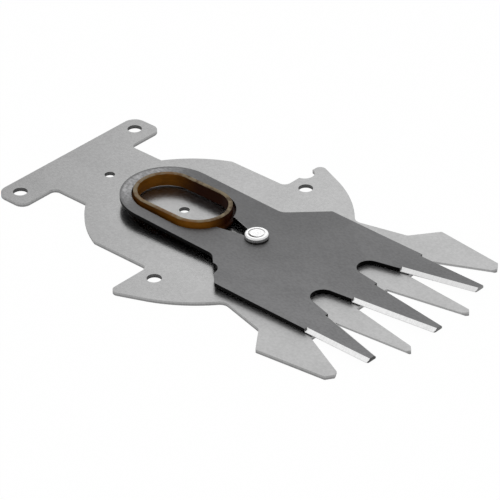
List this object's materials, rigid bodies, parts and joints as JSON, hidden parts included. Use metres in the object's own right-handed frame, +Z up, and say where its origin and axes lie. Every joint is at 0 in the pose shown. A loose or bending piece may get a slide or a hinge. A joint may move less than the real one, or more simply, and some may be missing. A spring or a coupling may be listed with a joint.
{
  "type": "shrub shear blade",
  "caption": "Flat two-blade cutting head of a hand-held shrub shear: a fixed steel comb with mounting holes and a dark toothed blade that swings on a rivet.",
  "frame": {"origin": "midway between the two holes of the mounting bar, on the underside of the lower blade", "axes": "+X along the blades from the mounting bar to the tooth tips, +Y across them, +Z up through the sheets, from the lower blade to the upper"},
  "size_m": [0.1494, 0.0922, 0.0058],
  "materials": {
    "bright_steel": "satin, stamped and lightly brushed",
    "dark_steel": "dark satin oxide finish with bright ground bevels",
    "rivet_steel": "bright turned steel",
    "washer_steel": "plain steel",
    "amber_plastic": "translucent amber brown, smooth"
  },
  "bodies": {
    "lower": {"lower_blade": "bright_steel", "pivot_rivet": "rivet_steel", "spacer_washer": "washer_steel"},
    "upper": {"upper_blade": "dark_steel", "drive_bushing": "amber_plastic"}
  },
  "joints": [
    {"name": "blade_pivot", "type": "hinge", "parent": "lower", "child": "upper", "pos_m": [0.0741, 0, 0.0035], "axis": [0, 0, 1], "range_deg": [-10.5, 10.5]}
  ]
}
